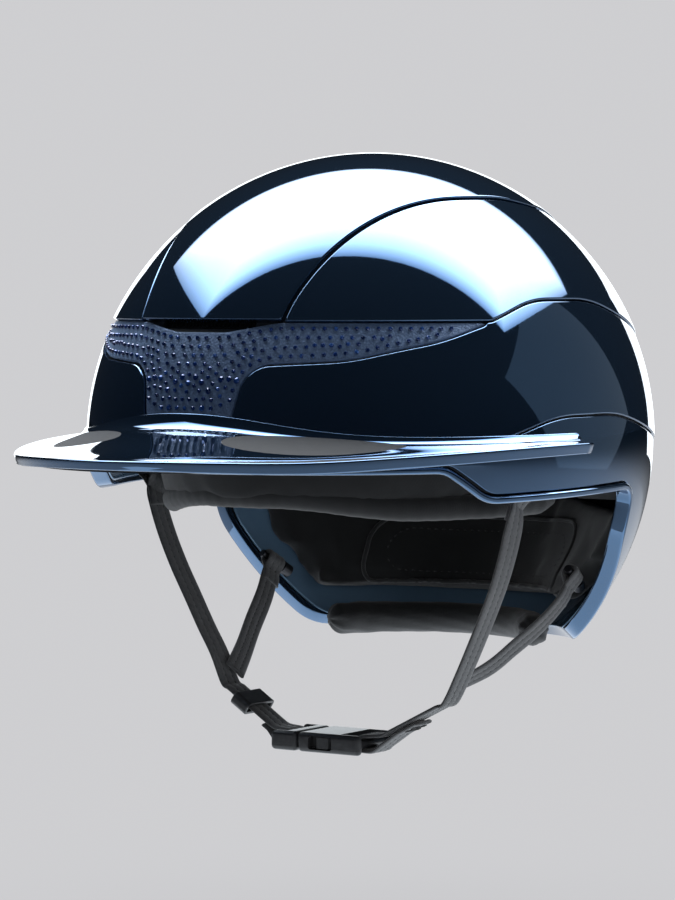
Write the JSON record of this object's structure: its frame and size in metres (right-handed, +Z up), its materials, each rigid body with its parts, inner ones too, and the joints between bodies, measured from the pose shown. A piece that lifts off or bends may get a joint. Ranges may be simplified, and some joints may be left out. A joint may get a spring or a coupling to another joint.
{
  "type": "equestrian riding helmet",
  "caption": "Riding helmet with a wide wrap-around brim, shingled gloss shell panels, a stone-set front band, soft lining and a chin harness that opens at a side-release buckle.",
  "frame": {"origin": "centre of the shell's ellipsoid, where the middle of the wearer's head sits", "axes": "+Z up, -Y towards the brim's front, +X towards the wearer's left"},
  "size_m": [0.2428, 0.3381, 0.2574],
  "materials": {
    "gloss_shell": "gloss navy",
    "shell_core": "matte black",
    "mesh": "fine black mesh",
    "band_leather": "slate-blue shimmer",
    "crystal": "cut sapphire stones",
    "lining": "soft black lining",
    "foam": "expanded foam",
    "hook_loop": "hook and loop",
    "hardware": "moulded nylon",
    "strap": "stitched dark grey leather-look",
    "buckle": "satin acetal"
  },
  "bodies": {
    "helmet": {"outer_shell": "shell_core", "spine_panel": "gloss_shell", "upper_panel_left": "gloss_shell", "upper_panel_right": "gloss_shell", "mid_shell": "gloss_shell", "lower_skirt": "gloss_shell", "edge_trim": "gloss_shell", "inner_rim_cover": "gloss_shell", "front_vent_mesh": "mesh", "rear_vent_mesh": "mesh", "front_band": "band_leather", "band_crystals": "crystal", "brim": "gloss_shell", "brim_lining": "lining", "impact_liner": "foam", "headband_pad": "lining", "crown_pad": "lining", "hook_patches": "hook_loop", "occipital_pad": "lining", "nape_roll": "lining", "hanger_front_left": "hardware", "hanger_rear_left": "hardware", "hanger_front_right": "hardware", "hanger_rear_right": "hardware"},
    "left_harness": {"front_strap_left": "strap", "rear_strap_left": "strap", "chin_strap_left": "strap", "buckle_housing": "buckle"},
    "right_harness": {"front_strap_right": "strap", "rear_strap_right": "strap", "chin_strap_right": "strap", "buckle_plug": "buckle"},
    "keeper": {"strap_divider": "buckle"},
    "front_prong": {"prong_front": "buckle"},
    "rear_prong": {"prong_rear": "buckle"}
  },
  "joints": [
    {"name": "left_harness_swing", "type": "hinge", "parent": "helmet", "child": "left_harness", "pos_m": [0.095, -0.034, -0.017], "axis": [0.1955, -0.8431, 0.501], "range_deg": [0, 75]},
    {"name": "right_harness_swing", "type": "hinge", "parent": "helmet", "child": "right_harness", "pos_m": [-0.095, -0.034, -0.017], "axis": [0.1955, 0.8431, -0.501], "range_deg": [0, 75]},
    {"name": "keeper_slide", "type": "slide", "parent": "right_harness", "child": "keeper", "axis": [0.8382, 0, -0.5454], "range_m": [-0.006, 0.006]},
    {"name": "front_prong_squeeze", "type": "hinge", "parent": "right_harness", "child": "front_prong", "pos_m": [-0.013, -0.0354, -0.1285], "axis": [0, 0, 1], "range_deg": [0, 8], "stiffness_Nm_per_rad": 0.3},
    {"name": "rear_prong_squeeze", "type": "hinge", "parent": "right_harness", "child": "rear_prong", "pos_m": [-0.013, -0.0166, -0.1285], "axis": [0, 0, 1], "range_deg": [-8, 0], "stiffness_Nm_per_rad": 0.3}
  ]
}
